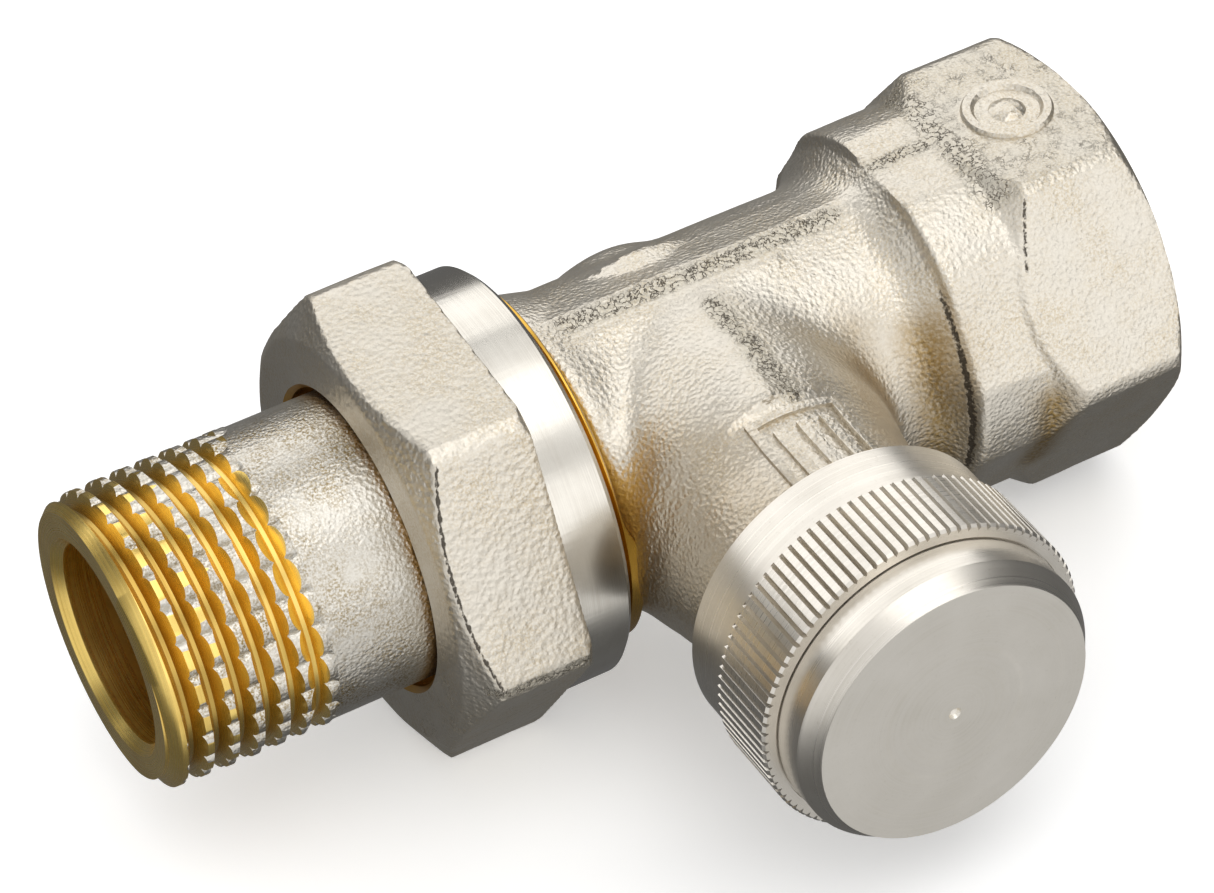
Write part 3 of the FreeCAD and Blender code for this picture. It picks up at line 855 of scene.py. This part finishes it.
# Darker brown on one side of the union thread, from 66 to 135 degrees round the pipe.
paint(union_spigot, "darkening", lambda x, y, z, facing: within(lean_of(y, z), 66, 135, 14))

socket_liner = turned("socket_thread", "pipe", [
    (-0.02, 10.7), (-13.1, 10.7), (-13.1, 9.0), (-12.95, 9.316), (-1.35, 9.316), (-0.02, 10.6),
    (-0.02, 10.7)], 128)
socket_liner.data.materials.append(cut_brass)
socket_tap = thread_groove("socket_tap", "pipe", -12.4, 8, PIPE_PITCH, bottom=10.42, mouth=9.2)
socket_tap.data.materials.append(cut_brass)
machine(socket_liner, socket_tap)

stem_brass = turned_metal(
    "stem_brass", "stem", (0.80, 0.50, 0.12), (0.40, 0.22, 0.05), 0.26, marks=0.16, depth=0.005)
cap_spigot = turned("cap_thread", "stem", [
    (20.6, 7.4), (20.6, 9.3), (26.9, 9.3), (BRANCH_MOUTH, 9.0), (BRANCH_MOUTH, 7.4), (20.6, 7.4)], 128)
cap_spigot.data.materials.append(stem_brass)
cap_die = thread_groove("cap_die", "stem", 28.5, 6, CAP_PITCH, bottom=8.72, mouth=9.42)
cap_die.data.materials.append(stem_brass)
machine(cap_spigot, cap_die)
for threaded in (union_spigot, socket_liner, cap_spigot):
    smooth_shading(threaded, 35)
    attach(threaded, "valve")


# ---- The lockshield cap ----
# Turned brass with a satin nickel plate: a plain collar, a straight-knurled grip, and a rim with a
# bright chamfer round a flat face. It screws down over the stem so that the setting is left alone.
TEETH = 94
TOOTH_STEPS = 5
CAP_AROUND = TEETH * TOOTH_STEPS
GRIP_R = 11.85
GROOVE_R = 11.42
CAP_FACE = 35.8

cap_nickel = turned_metal(
    "cap_nickel", "stem", (0.76, 0.72, 0.655), (0.60, 0.56, 0.49), 0.30,
    marks=0.11, depth=0.003, speckle=0.4)
cap_face_nickel = turned_metal(
    "cap_face_nickel", "stem", (0.86, 0.82, 0.75), (0.72, 0.68, 0.60), 0.36,
    marks=0.35, depth=0.0025, speckle=0.3)

cap = turned("cap_blank", "stem", [
    (22.35, 8.8), (22.0, 9.35), (22.0, 11.2), (22.2, 11.4), (25.85, 11.4), (25.85, 11.2), (26.05, 11.2),
    (26.2, GRIP_R), (31.7, GRIP_R), (31.9, 11.68), (31.9, 10.92), (31.62, 10.9), (31.62, 10.78),
    (31.95, 10.82), (34.3, 10.82), (34.45, 10.75), (35.72, 9.9), (CAP_FACE, 9.88), (CAP_FACE, 1.2),
    (CAP_FACE, 0.45), (35.55, 0.3), (35.45, 0.05)], CAP_AROUND)
for vertex in cap.data.vertices:
    rise = -vertex.co.y / MM
    across = vertex.co.x / MM - STEM_X
    step = round(math.atan2(across, vertex.co.z / MM) / (2 * math.pi) * CAP_AROUND) % TOOTH_STEPS
    reach = math.hypot(across, vertex.co.z / MM)
    if reach > 11.64 and 26 < rise < 32 and step == 0:
        pull = GROOVE_R / reach
        vertex.co.x = (STEM_X + across * pull) * MM
        vertex.co.z *= pull
cap_inside = turned("cap_inside", "stem", [(22.35, 8.8), (33.1, 8.8), (33.1, 0.05)], CAP_AROUND)
cap = join_rough("cap_blank", [cap, cap_inside])
bpy.context.view_layer.objects.active = cap
bpy.ops.object.mode_set(mode="EDIT")
bpy.ops.mesh.select_all(action="SELECT")
bpy.ops.mesh.remove_doubles(threshold=1e-6)
bpy.ops.mesh.fill_holes(sides=0)
bpy.ops.mesh.normals_make_consistent(inside=False)
bpy.ops.object.mode_set(mode="OBJECT")
cap.data.materials.append(cap_nickel)
cap_tap = thread_groove("cap_tap", "stem", 29.0, 7, CAP_PITCH, bottom=9.4, mouth=8.7, steps=94)
cap_tap.data.materials.append(stem_brass)
machine(cap, cap_tap)
cap.data.materials.append(cap_face_nickel)
face_slot = len(cap.data.materials) - 1
for face in cap.data.polygons:
    if face.center.y / MM < -35.5:
        face.material_index = face_slot
smooth_shading(cap, 24)
cap.name = "lockshield_cap_knurled"
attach(cap, "cap")
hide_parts("lockshield_cap")


# ---- The stem, headwork and seals ----
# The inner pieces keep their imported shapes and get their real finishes: turned brass, stainless
# spring steel, black rubber, white plastic and a red fibre ring.
steel = turned_metal(
    "spring_steel", "stem", (0.60, 0.60, 0.61), (0.40, 0.40, 0.42), 0.28, marks=0.12, depth=0.004)


def plain_finish(name, color, dark, roughness, grain, depth):
    """Rubber, fibre or plastic: no metal, a fine grain and a little dust."""
    finish, tree, shader = finish_nodes(name, color, roughness)
    shader.inputs["Metallic"].default_value = 0
    place = tree.nodes.new("ShaderNodeTexCoord").outputs["Object"]
    fine = noise(tree, place, grain, 4)
    cloud = noise(tree, place, grain * 9, 3)
    tree.links.new(blend_colors(tree, remap(tree, cloud, 0.35, 0.7), color, dark),
                   shader.inputs["Base Color"])
    tree.links.new(remap(tree, fine, 0.3, 0.7, roughness * 0.85, roughness * 1.15),
                   shader.inputs["Roughness"])
    bump(tree, fine, 0.5, depth, shader)
    return finish


seal_rubber = plain_finish("seal_rubber", (0.022, 0.022, 0.024), (0.05, 0.05, 0.052), 0.5, 0.08, 0.006)
white_ptfe = plain_finish("white_ptfe", (0.86, 0.86, 0.84), (0.78, 0.78, 0.75), 0.4, 0.12, 0.004)
red_fibre = plain_finish("red_fibre", (0.42, 0.09, 0.045), (0.30, 0.06, 0.03), 0.75, 0.1, 0.02)
INNER_FINISHES = {
    stem_brass: (
        "headwork_housing", "gland_nut", "disc_holder", "disc_washer", "spindle", "preset_screw"),
    steel: ("holder_clip", "disc_screw"),
    seal_rubber: (
        "spindle_seal_lower", "spindle_seal_upper", "preset_seal", "valve_disc", "cap_seal", "tail_seal"),
    white_ptfe: ("gland_washer",),
    red_fibre: ("headwork_seal",)}
for finish, names in INNER_FINISHES.items():
    for name in names:
        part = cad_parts[name]
        part.data.materials.clear()
        part.data.materials.append(finish)
